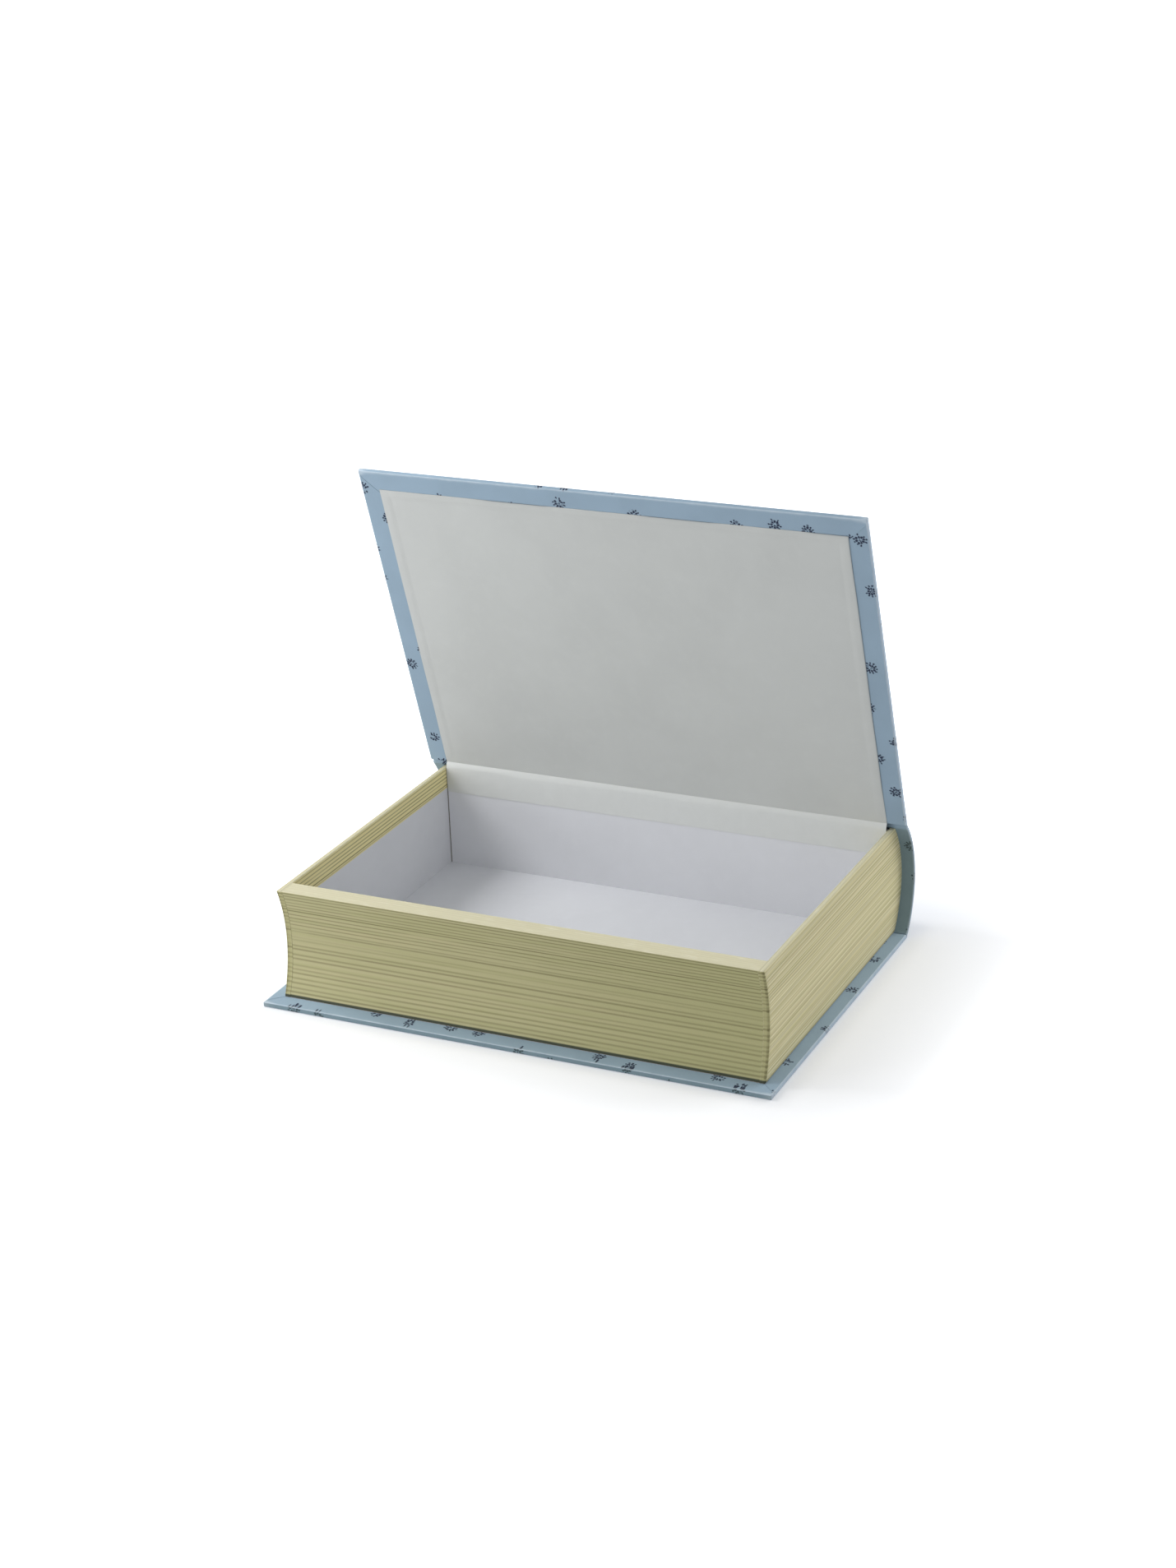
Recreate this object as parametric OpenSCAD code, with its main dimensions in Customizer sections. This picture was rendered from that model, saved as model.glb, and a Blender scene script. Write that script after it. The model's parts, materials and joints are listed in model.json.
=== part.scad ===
// Book box: a paper-covered board tray glued into a hinged case that looks like a bound book.
// X runs along the spine, the fore edge faces -Y and the spine +Y. The origin is on the
// surface that the box stands on, midway between the fore edge of the case and the spine.
// The lid is drawn open at the angle that it stands at.

/* [Case] */
// Length of the covers and the spine, along the hinge
case_length = 280; // [220:1:340]
// Depth of a cover, from its front edge to the hinge line
cover_depth = 194; // [150:1:240]
// Thickness of the grey board in each cover
cover_board_t = 2; // [1.5:0.1:3]
// Thickness of the printed wrap paper
wrap_t = 0.25; // [0.15:0.05:0.4]
// Width of the wrap paper that is turned in over the board edges
turn_in = 15; // [12:0.5:20]
// Bare paper on each side of the hinge line, between it and the boards
joint_gap = 1.5; // [1.2:0.1:2.5]

/* [Spine] */
// How far the rounded spine stands out behind the hinge line
spine_bulge = 13; // [10:0.1:16]
// Thickness of the curved spine card
spine_card_t = 1.5; // [1:0.1:2]

/* [Tray] */
// Height of the tray, from the base cover to the rim
tray_height = 59.5; // [45:0.5:75]
// Distance from a side of the tray to the edge of the cover
side_square = 7; // [5:0.1:12]
// Distance from the fore edge of the tray to the edge of the cover
front_square = 9.7; // [6:0.1:14]
// Thickness of the board in the tray walls
wall_board_t = 2.5; // [2:0.1:3]
// Thickness of the board in the tray floor
floor_board_t = 2; // [1.5:0.1:3]
// Free space between the rear wall and the hinge line
rear_space = 1.15; // [0.8:0.05:2]

/* [Fore edge] */
// How far the fore edge curves in, like the cut pages of a bound book
fore_edge_hollow = 6.2; // [4:0.1:7.5]
// Depth of the front rim behind the hollow, from its deepest line to the inside of the tray
front_rim = 6; // [5:0.1:14]
// Thickness of the curved fore-edge card
fore_card_t = 1.2; // [0.8:0.1:1.5]
// Thickness of the board strip that closes the front rim
rim_strip_t = 1.5; // [1:0.1:2.5]

/* [Papers] */
// Thickness of the lined page paper round the tray
page_t = 0.25; // [0.15:0.05:0.4]
// How far the page paper is turned down inside the tray
page_turn_down = 12; // [8:0.5:20]
// Thickness of the plain lining paper
lining_t = 0.25; // [0.15:0.05:0.4]
// Open corner that is left between two wall linings
lining_corner_gap = 0.6; // [0.3:0.1:1.5]
// Distance from the front edge of the lid to its lining
lid_lining_margin = 10.5; // [6:0.5:11.5]
// Free play between the hinge lining and the side walls
hinge_lining_play = 0.3; // [0.2:0.1:1]
// How far the hinge lining runs down the rear wall
flap_depth = 14; // [10:0.5:20]
// How far the free lining keeps the line of the flap, and of the lid, before it bends
lining_ease = 1.6; // [0.5:0.1:2.5]

/* [Lid] */
// Angle between the lid as it stands and the closed lid
lid_angle = 72; // [50:1:100]
// Gap between the closed lid's lining and the rim
closed_gap = 0.3; // [0.2:0.1:0.6]

/* [Hidden] */
$fn = 180;

// Colours as the object shows them
grey_board = [0.62, 0.6, 0.56];
printed_blue = [0.6, 0.73, 0.81];
page_cream = [0.74, 0.73, 0.55];
page_cream_light = [0.83, 0.82, 0.68];
lining_white = [0.86, 0.86, 0.89];
lining_grey = [0.76, 0.77, 0.77];

// Extra length that a cutting shape runs past what it cuts
past = 1;
// Overlap that joins the steps of one sheet into one solid
sheet_lap = 0.3;
// Number of straight steps along a bent strip of paper
strip_steps = 12;

// The covers, seen from the side
cover_t = cover_board_t + 2 * wrap_t;
case_half = case_length / 2;
case_front = -(cover_depth + spine_bulge) / 2;
hinge_y = case_front + cover_depth;
board_half = case_half - wrap_t;
board_rear = hinge_y - joint_gap;
turn_in_half = case_half - turn_in;

// The tray, seen from the side
tray_z = cover_t;
rim_z = tray_z + tray_height;
tray_half = case_half - side_square;
wall_out = tray_half - page_t;
wall_in = wall_out - wall_board_t;
room_half = wall_in - lining_t;
fore_y = case_front + front_square;
room_front = fore_y + fore_edge_hollow + front_rim;
front_board_in = room_front - lining_t;
front_board_out = front_board_in - wall_board_t;
rear_board_out = hinge_y - rear_space;
rear_board_in = rear_board_out - wall_board_t;
room_rear = rear_board_in - lining_t;
floor_z = tray_z + floor_board_t;
room_z = floor_z + lining_t;
wall_board_top = rim_z - page_t;
turn_down_z = rim_z - page_turn_down;

// The hinge line lies in the middle of the wrap paper, on the outer face of the closed lid
hinge_z = rim_z + closed_gap + lining_t + cover_t - wrap_t / 2;
lid_z = hinge_z + wrap_t / 2 - cover_t;
hinge_lining_half = room_half - hinge_lining_play;

// The rounded spine: one arc through the lower and the upper hinge line
function arc_radius(half_chord, rise) = (half_chord * half_chord + rise * rise) / (2 * rise);
spine_mid_z = (hinge_z + wrap_t / 2) / 2;
spine_half_chord = hinge_z - spine_mid_z;
spine_mid_r = arc_radius(spine_half_chord, spine_bulge - wrap_t / 2);
spine_out_r = spine_mid_r + wrap_t / 2;
spine_card_out_r = spine_out_r - wrap_t;
spine_card_in_r = spine_card_out_r - spine_card_t;
lobe_r = spine_card_in_r - wrap_t;
spine_y = hinge_y + spine_bulge - spine_out_r;
hinge_turn = asin(spine_half_chord / spine_mid_r);
function arc_angle(length, radius) = length / radius * 180 / PI;
spine_card_turn = hinge_turn - arc_angle(joint_gap, spine_mid_r);
spine_low_turn = hinge_turn - arc_angle(wrap_t, spine_mid_r);
cut_turn = hinge_turn + arc_angle(past, spine_mid_r);

// The hollow fore edge: one arc from the base cover to the rim
fore_r = arc_radius(tray_height / 2, fore_edge_hollow);
fore_mid_y = fore_y + fore_edge_hollow - fore_r;
fore_mid_z = tray_z + tray_height / 2;
fore_card_r = fore_r + page_t;
fore_back_r = fore_card_r + fore_card_t;

// Directions along the open lid and out of its printed face, as (y, z)
lid_along = [-cos(lid_angle), sin(lid_angle)];
lid_outward = [sin(lid_angle), cos(lid_angle)];
hinge_point = [hinge_y, hinge_z];

// Turns a side view, drawn as (y, z), into a solid between two x values
module across(x_from, x_to) {
  translate([x_from, 0, 0])
    rotate([90, 0, 90])
      linear_extrude(height = x_to - x_from)
        children();
}

// A block between two corners
module block(low, high) {
  translate(low)
    cube(high - low);
}

// A rectangle between two corners, as (y, z)
module panel(low, high) {
  translate(low)
    square(high - low);
}

// Swings what is drawn on the closed lid to where the open lid stands
module opened() {
  translate([0, hinge_y, hinge_z])
    rotate([-lid_angle, 0, 0])
      translate([0, -hinge_y, -hinge_z])
        children();
}

// A stretch of a ring round the spine's centre, seen from the side
module spine_arc(inner_r, outer_r, low_turn, high_turn) {
  reach = 2 * outer_r;
  translate([spine_y, spine_mid_z])
    intersection() {
      difference() {
        circle(r = outer_r);
        circle(r = inner_r);
      }
      polygon([
        [0, 0],
        [reach * cos(low_turn), -reach * sin(low_turn)],
        [reach * cos(high_turn), reach * sin(high_turn)]
      ]);
    }
}

// The disc in front of the fore edge, whose rim is the hollow
module fore_disc(radius) {
  translate([fore_mid_y, fore_mid_z])
    circle(r = radius);
}

// A band that follows the hollow fore edge
module fore_band(inner_r, outer_r, low_z, high_z) {
  difference() {
    intersection() {
      fore_disc(outer_r);
      panel([fore_y - past, low_z], [room_front, high_z]);
    }
    fore_disc(inner_r);
  }
}

// The side of the tray: hollow at the fore edge, round behind the rear wall
module tray_side(front_r, low_z, high_z) {
  difference() {
    panel([fore_y - past, low_z], [spine_y + past, high_z]);
    fore_disc(front_r);
  }
  intersection() {
    panel([spine_y, low_z], [spine_y + lobe_r + past, high_z]);
    translate([spine_y, spine_mid_z])
      circle(r = lobe_r);
  }
}

// A strip of paper of even thickness along a curve given by its four control points
function curve_point(p, t) =
  pow(1 - t, 3) * p[0] + 3 * t * pow(1 - t, 2) * p[1]
  + 3 * t * t * (1 - t) * p[2] + pow(t, 3) * p[3];
function curve_slope(p, t) =
  pow(1 - t, 2) * (p[1] - p[0]) + 2 * t * (1 - t) * (p[2] - p[1]) + t * t * (p[3] - p[2]);
function left_normal(v) = [-v[1], v[0]] / norm(v);
function curve_side(p, offset) = [
  for (step = [0 : strip_steps])
    curve_point(p, step / strip_steps) + offset * left_normal(curve_slope(p, step / strip_steps))
];
function reversed(list) = [for (i = [len(list) - 1 : -1 : 0]) list[i]];

module paper_strip(control, thickness) {
  polygon(concat(
    curve_side(control, thickness / 2),
    reversed(curve_side(control, -thickness / 2))
  ));
}

// A cover's grey board, lying flat with its lower face at the given height
module cover_board(low_z) {
  block([-board_half, case_front + wrap_t, low_z], [board_half, board_rear, low_z + cover_board_t]);
}

// A cover's wrap paper, printed side down: one sheet folded up round three board edges
module cover_wrap() {
  difference() {
    block([-case_half, case_front, 0], [case_half, board_rear, cover_t]);
    block(
      [-board_half, case_front + wrap_t, wrap_t],
      [board_half, board_rear + past, wrap_t + cover_board_t]
    );
    block(
      [-turn_in_half, case_front + turn_in, wrap_t],
      [turn_in_half, board_rear + past, cover_t + past]
    );
  }
}

// A wall between the side walls, from its front face to its back face
module cross_wall(front_y, back_y, top_z) {
  block([-wall_in, front_y, tray_z], [wall_in, back_y, top_z]);
}

// A side wall on the right
module side_wall() {
  across(wall_in, wall_out)
    tray_side(fore_back_r, tray_z, wall_board_top);
}

// The page paper on the right: outer skin, front fold, rim and the part turned down inside
module side_page_paper() {
  across(wall_out, tray_half)
    tray_side(fore_r, tray_z, rim_z);
  across(room_half, tray_half)
    fore_band(fore_r, fore_card_r, tray_z, rim_z);
  across(room_half, tray_half)
    tray_side(fore_r, wall_board_top, rim_z);
  block([room_half, room_front, turn_down_z], [wall_in, room_rear, rim_z]);
}

// A plain lining on the right side wall
module side_lining() {
  block([room_half, room_front, room_z], [wall_in, room_rear, turn_down_z]);
}

module base_board() {
  color(grey_board)
    cover_board(wrap_t);
}

module base_wrap_paper() {
  color(printed_blue) {
    cover_wrap();
    block([-case_half, board_rear - sheet_lap, 0], [case_half, hinge_y, wrap_t]);
  }
}

module spine_card() {
  color(grey_board)
    across(-board_half, board_half)
      spine_arc(spine_card_in_r, spine_card_out_r, spine_card_turn, spine_card_turn);
}

// One sheet over the spine card, folded round the card's two ends and turned in behind it
module spine_wrap_paper() {
  color(printed_blue)
    difference() {
      across(-case_half, case_half)
        spine_arc(lobe_r, spine_out_r, spine_low_turn, spine_card_turn);
      across(-board_half, board_half)
        spine_arc(spine_card_in_r, spine_card_out_r, cut_turn, cut_turn);
      across(-turn_in_half, turn_in_half)
        spine_arc(lobe_r - past, spine_card_in_r + sheet_lap, cut_turn, cut_turn);
    }
}

module tray_floor_board() {
  color(grey_board)
    block([-wall_in, front_board_in, tray_z], [wall_in, rear_board_in, floor_z]);
}

module tray_front_wall() {
  color(grey_board)
    cross_wall(front_board_out, front_board_in, wall_board_top - rim_strip_t);
}

module tray_rear_wall() {
  color(grey_board)
    cross_wall(rear_board_in, rear_board_out, wall_board_top);
}

module tray_left_wall() {
  color(grey_board)
    mirror([1, 0, 0])
      side_wall();
}

module tray_right_wall() {
  color(grey_board)
    side_wall();
}

module fore_edge_card() {
  color(grey_board)
    across(-wall_out, wall_out)
      fore_band(fore_card_r, fore_back_r, tray_z, wall_board_top);
}

module fore_edge_rim_strip() {
  color(grey_board)
    across(-wall_in, wall_in)
      difference() {
        panel([fore_y - past, wall_board_top - rim_strip_t], [front_board_in, wall_board_top]);
        fore_disc(fore_back_r);
      }
}

module fore_edge_page_paper() {
  color(page_cream)
    across(-room_half, room_half) {
      fore_band(fore_r, fore_card_r, tray_z, rim_z);
      difference() {
        panel([fore_y - past, wall_board_top], [room_front, rim_z]);
        fore_disc(fore_r);
      }
      panel([front_board_in, turn_down_z], [room_front, rim_z]);
    }
}

module left_page_paper() {
  color(page_cream_light)
    mirror([1, 0, 0])
      side_page_paper();
}

module right_page_paper() {
  color(page_cream_light)
    side_page_paper();
}

module floor_lining() {
  color(lining_white)
    block([-wall_in, front_board_in, floor_z], [wall_in, rear_board_in, room_z]);
}

module front_lining() {
  color(lining_white)
    block(
      [-room_half + lining_corner_gap, front_board_in, room_z],
      [room_half - lining_corner_gap, room_front, turn_down_z]
    );
}

module rear_lining() {
  color(lining_white)
    block(
      [-room_half + lining_corner_gap, room_rear, room_z],
      [room_half - lining_corner_gap, rear_board_in, wall_board_top]
    );
}

module left_lining() {
  color(lining_white)
    mirror([1, 0, 0])
      side_lining();
}

module right_lining() {
  color(lining_white)
    side_lining();
}

module rear_lining_flap() {
  color(lining_grey)
    block(
      [-hinge_lining_half, room_rear - lining_t, rim_z - flap_depth],
      [hinge_lining_half, room_rear, rim_z]
    );
}

// The free lining between the flap's top edge and the lining's end on the open lid
module hinge_lining_paper() {
  flap_end = [room_rear - lining_t / 2, rim_z];
  lid_end = hinge_point + joint_gap * lid_along
    - (wrap_t / 2 + cover_board_t + lining_t / 2) * lid_outward;
  color(lining_grey)
    across(-hinge_lining_half, hinge_lining_half)
      paper_strip([
        flap_end,
        flap_end + [0, lining_ease],
        lid_end - lining_ease * lid_along,
        lid_end
      ], lining_t);
}

// The printed paper that bends at the hinge line, between the spine card and the lid board
module hinge_wrap_paper() {
  spine_end = [
    spine_y + spine_mid_r * cos(spine_card_turn),
    spine_mid_z + spine_mid_r * sin(spine_card_turn)
  ];
  lid_end = hinge_point + joint_gap * lid_along;
  color(printed_blue)
    across(-case_half, case_half)
      paper_strip([
        spine_end,
        (spine_end + 2 * hinge_point) / 3,
        (lid_end + 2 * hinge_point) / 3,
        lid_end
      ], wrap_t);
}

module lid_board() {
  color(grey_board)
    opened()
      cover_board(lid_z + wrap_t);
}

module lid_wrap_paper() {
  color(printed_blue)
    opened()
      translate([0, 0, lid_z + cover_t])
        mirror([0, 0, 1])
          cover_wrap();
}

// The lining lies on the bare board and steps up over the edges of the turned-in wrap
module lid_lining_paper() {
  step_half = turn_in_half - sheet_lap;
  step_front = case_front + turn_in + sheet_lap;
  color(lining_grey)
    opened() {
      block([-turn_in_half, case_front + turn_in, lid_z], [turn_in_half, board_rear, lid_z + wrap_t]);
      difference() {
        block(
          [-hinge_lining_half, case_front + lid_lining_margin, lid_z - lining_t],
          [hinge_lining_half, board_rear, lid_z]
        );
        block(
          [-step_half, step_front, lid_z - lining_t - past],
          [step_half, board_rear + past, lid_z + past]
        );
      }
    }
}

base_board();
base_wrap_paper();
spine_card();
spine_wrap_paper();
tray_floor_board();
tray_front_wall();
tray_rear_wall();
tray_left_wall();
tray_right_wall();
fore_edge_card();
fore_edge_rim_strip();
fore_edge_page_paper();
left_page_paper();
right_page_paper();
floor_lining();
front_lining();
rear_lining();
left_lining();
right_lining();
rear_lining_flap();
hinge_lining_paper();
hinge_wrap_paper();
lid_board();
lid_wrap_paper();
lid_lining_paper();
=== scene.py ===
"""Book box: papers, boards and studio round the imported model.

The box looks like a bound book. A tray of paper-covered board stands on the base cover of a case,
and the case is one printed sheet over a base board, a rounded spine card and a lid board. Every
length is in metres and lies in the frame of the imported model.
"""

import json
import math

import bmesh
import bpy
import numpy as np
from bpy.props import FloatProperty, FloatVectorProperty, PointerProperty
from bpy.types import Operator, Panel, PropertyGroup
from mathutils import Euler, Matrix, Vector


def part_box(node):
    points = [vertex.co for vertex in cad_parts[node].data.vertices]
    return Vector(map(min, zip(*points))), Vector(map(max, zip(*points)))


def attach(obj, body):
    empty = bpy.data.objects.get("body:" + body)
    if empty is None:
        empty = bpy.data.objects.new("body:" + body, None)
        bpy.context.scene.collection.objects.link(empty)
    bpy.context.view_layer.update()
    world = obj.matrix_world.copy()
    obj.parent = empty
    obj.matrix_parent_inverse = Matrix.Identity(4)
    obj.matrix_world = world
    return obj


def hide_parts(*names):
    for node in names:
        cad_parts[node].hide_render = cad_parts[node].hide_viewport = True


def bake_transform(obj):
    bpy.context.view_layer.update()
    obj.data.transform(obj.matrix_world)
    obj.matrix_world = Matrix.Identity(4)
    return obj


bl_info = {
    "name": "Book box",
    "version": (1, 0, 0),
    "blender": (4, 5, 0),
    "location": "3D View > Sidebar > Book box",
    "description": "Makes the papers of a book box, finishes its boards and sets up a studio",
    "category": "Object",
}

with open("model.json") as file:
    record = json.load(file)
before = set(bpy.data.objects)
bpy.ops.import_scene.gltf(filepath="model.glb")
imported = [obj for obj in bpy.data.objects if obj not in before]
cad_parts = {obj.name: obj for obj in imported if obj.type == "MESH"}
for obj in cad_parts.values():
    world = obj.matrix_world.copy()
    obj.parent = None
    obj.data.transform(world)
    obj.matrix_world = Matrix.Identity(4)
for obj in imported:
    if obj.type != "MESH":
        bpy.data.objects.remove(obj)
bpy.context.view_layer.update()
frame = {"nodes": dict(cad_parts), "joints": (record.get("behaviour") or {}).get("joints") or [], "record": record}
MM = 0.001
X, Y, Z = 0, 1, 2
LOW, HIGH = 0, 1


def face(node, axis, end):
    """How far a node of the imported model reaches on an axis, at its low or its high end."""
    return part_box(node)[end][axis]


# The case, seen from the side. Pairs are (y, z)
HINGE = np.array(frame["joints"][0]["pos_m"][1:])
OPEN = -math.radians(frame["joints"][0]["range_deg"][0])
UP_LID = np.array([-math.cos(OPEN), math.sin(OPEN)])
OUT_OF_LID = np.array([math.sin(OPEN), math.cos(OPEN)])
CASE_HALF = face("base_wrap_paper", X, HIGH)
CASE_FRONT = face("base_wrap_paper", Y, LOW)
COVER_T = face("base_wrap_paper", Z, HIGH)
WRAP_T = face("base_board", Z, LOW)
COVER_DEPTH = HINGE[0] - CASE_FRONT
JOINT_GAP = HINGE[0] - face("base_board", Y, HIGH)
TURN_IN = 15 * MM
# A row of blossoms starts here on the flat sheet, so that one runs along the base's front edge
FIRST_ROW = 7.35 * MM
# The spine's paper is an arc through both hinge lines
HALF_CHORD = (HINGE[1] - WRAP_T / 2) / 2
RISE = face("spine_wrap_paper", Y, HIGH) - HINGE[0] - WRAP_T / 2
SPINE_MID_R = (HALF_CHORD**2 + RISE**2) / (2 * RISE)
SPINE_R = SPINE_MID_R + WRAP_T / 2
SPINE_CENTRE = np.array([HINGE[0] + RISE - SPINE_MID_R, HINGE[1] - HALF_CHORD])
HALF_TURN = math.asin(HALF_CHORD / SPINE_MID_R)
SPINE_LENGTH = 2 * HALF_TURN * SPINE_MID_R
SPINE_T = 2 * MM
GROOVE_T = 2 * WRAP_T
# The tray and the room in it. The page papers end inside at the height TURN_DOWN
TRAY_HALF = face("right_page_paper", X, HIGH)
FOOT = face("right_page_paper", Z, LOW)
RIM = face("right_page_paper", Z, HIGH)
FORE_EDGE = face("right_page_paper", Y, LOW)
HOLLOW = 6.2 * MM
ROOM_HALF = face("right_lining", X, LOW)
ROOM_FRONT = face("front_lining", Y, HIGH)
ROOM_REAR = face("rear_lining", Y, LOW)
TURN_DOWN = face("right_lining", Z, HIGH)
LOBE_R = SPINE_R - SPINE_T
# The lining of the lid
LINING_HALF = face("lid_lining_paper", X, HIGH)
FLAP_FACE = face("rear_lining_flap", Y, LOW)
FLAP_LOW = face("rear_lining_flap", Z, LOW)
LID_LINING_MARGIN = 10.5 * MM
LINING_T = 0.25 * MM
# A sheet's thickness, the angle from which its edges look sharp, and the distance at which its
# points are merged
SHEET_T = 0.2 * MM
SHARP = math.radians(32)
WELD = 1e-7


def tint(red, green, blue):
    """A colour that is read off as 0 to 255 on a screen, as the linear numbers that shaders use."""
    share = np.array([red, green, blue]) / 255
    linear = np.where(share <= 0.04045, share / 12.92, ((share + 0.055) / 1.055) ** 2.4)
    return tuple(float(c) for c in linear)


def toned(colour, factor, most=1.0):
    """A colour times one factor, or times one each for red, green and blue, but at most this."""
    return [min(most, c * float(k)) for c, k in zip(colour, np.broadcast_to(factor, 3))]


# ---------------------------------------------------------------- settings


def colour_setting(name, description, *screen):
    """A setting for a colour, whose default is read off as 0 to 255 on a screen."""
    return FloatVectorProperty(name=name, description=description, subtype="COLOR", default=tint(*screen))


def length_setting(name, description, millimetres):
    """A setting for a length, with its default in millimetres."""
    default = millimetres * MM
    return FloatProperty(name=name, description=description, default=default, unit="LENGTH", precision=5)


def power_setting(name, description, watts):
    """A setting for a lamp's power."""
    return FloatProperty(name=name, description=description, default=watts, min=0, unit="POWER")


class BOOKBOX_PG_wrap(PropertyGroup):
    """Printed paper of the case."""

    ground: colour_setting("Ground", "Colour of the unprinted paper", 148, 171, 189)
    ink: colour_setting("Ink", "Colour of the printed blossoms", 24, 31, 58)
    worn: colour_setting("Worn edge", "Colour where the paper is rubbed along its folds", 196, 209, 219)
    spacing: length_setting("Blossom spacing", "Side of the square of paper that holds one blossom", 20.7)
    blossom: length_setting("Blossom radius", "Radius of one blossom", 3.6)
    edge: length_setting("Edge radius", "Rounding of the paper over a board edge", 0.45)


class BOOKBOX_PG_pages(PropertyGroup):
    """Lined paper round the tray."""

    fore_edge: colour_setting("Fore edge", "Colour of the paper in the hollow fore edge", 184, 178, 135)
    sides: colour_setting("Sides", "Colour of the paper on the sides", 220, 210, 165)
    rim: colour_setting("Rim", "Colour of the paper over the rim", 213, 207, 176)
    lines: colour_setting("Lines", "Colour of the printed page lines", 104, 97, 58)
    pitch: length_setting("Line pitch", "Mean distance between lines on the fore edge", 2.55)
    fine_pitch: length_setting("Fine line pitch", "Mean distance between lines on the sides", 1.6)
    edge: length_setting("Edge radius", "Rounding of the paper over the walls' edges", 0.6)


class BOOKBOX_PG_linings(PropertyGroup):
    """Plain lining papers."""

    tray: colour_setting("Tray", "Colour of the lining in the tray", 221, 222, 226)
    lid: colour_setting("Lid", "Colour of the lining in the lid", 201, 203, 200)
    # The wall colour is painted light: paler where the sheet runs over the hinge and down the rear wall
    wall: colour_setting("Wall", "Colour of the lid's lining where it runs down the rear wall", 218, 220, 218)
    wrinkle: length_setting("Wrinkle height", "Height of the wrinkles at the lining's upper edge", 0.12)


class BOOKBOX_PG_board(PropertyGroup):
    """Bare grey board."""

    board: colour_setting("Board", "Colour of the grey board", 150, 146, 138)
    fleck: colour_setting("Flecks", "Colour of the fibres in the board", 98, 94, 88)


class BOOKBOX_PG_stage(PropertyGroup):
    """Floor, light and camera."""

    floor: colour_setting("Floor", "Colour of the floor", 227, 228, 231)
    ambient: FloatProperty(
        name="Room light", description="Strength of the even light from all sides", default=0.58, min=0
    )
    key: power_setting("Key light", "Power of the soft lamp above the left side", 2.45)
    low: power_setting("Low light", "Power of the small lamp low at the left front", 1.7)
    fill: power_setting("Fill light", "Power of the large lamp behind the right side", 3.3)
    lens: FloatProperty(
        name="Lens", description="Focal length on a 36 mm frame", default=66.624, unit="CAMERA"
    )


class BOOKBOX_PG_settings(PropertyGroup):
    """All settings of the book box."""

    wrap: PointerProperty(type=BOOKBOX_PG_wrap)
    pages: PointerProperty(type=BOOKBOX_PG_pages)
    linings: PointerProperty(type=BOOKBOX_PG_linings)
    board: PointerProperty(type=BOOKBOX_PG_board)
    stage: PointerProperty(type=BOOKBOX_PG_stage)


# ---------------------------------------------------------------- shader maths


class Value:
    """A shader socket that can stand in a sum. Each operator adds a Math node."""

    def __init__(self, paint, socket):
        self.paint = paint
        self.socket = socket

    def __add__(self, other):
        return self.paint.math("ADD", self, other)

    def __sub__(self, other):
        return self.paint.math("SUBTRACT", self, other)

    def __rsub__(self, other):
        return self.paint.math("SUBTRACT", other, self)

    def __mul__(self, other):
        return self.paint.math("MULTIPLY", self, other)

    def __abs__(self):
        return self.paint.math("ABSOLUTE", self)

    __radd__ = __add__
    __rmul__ = __mul__


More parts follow.
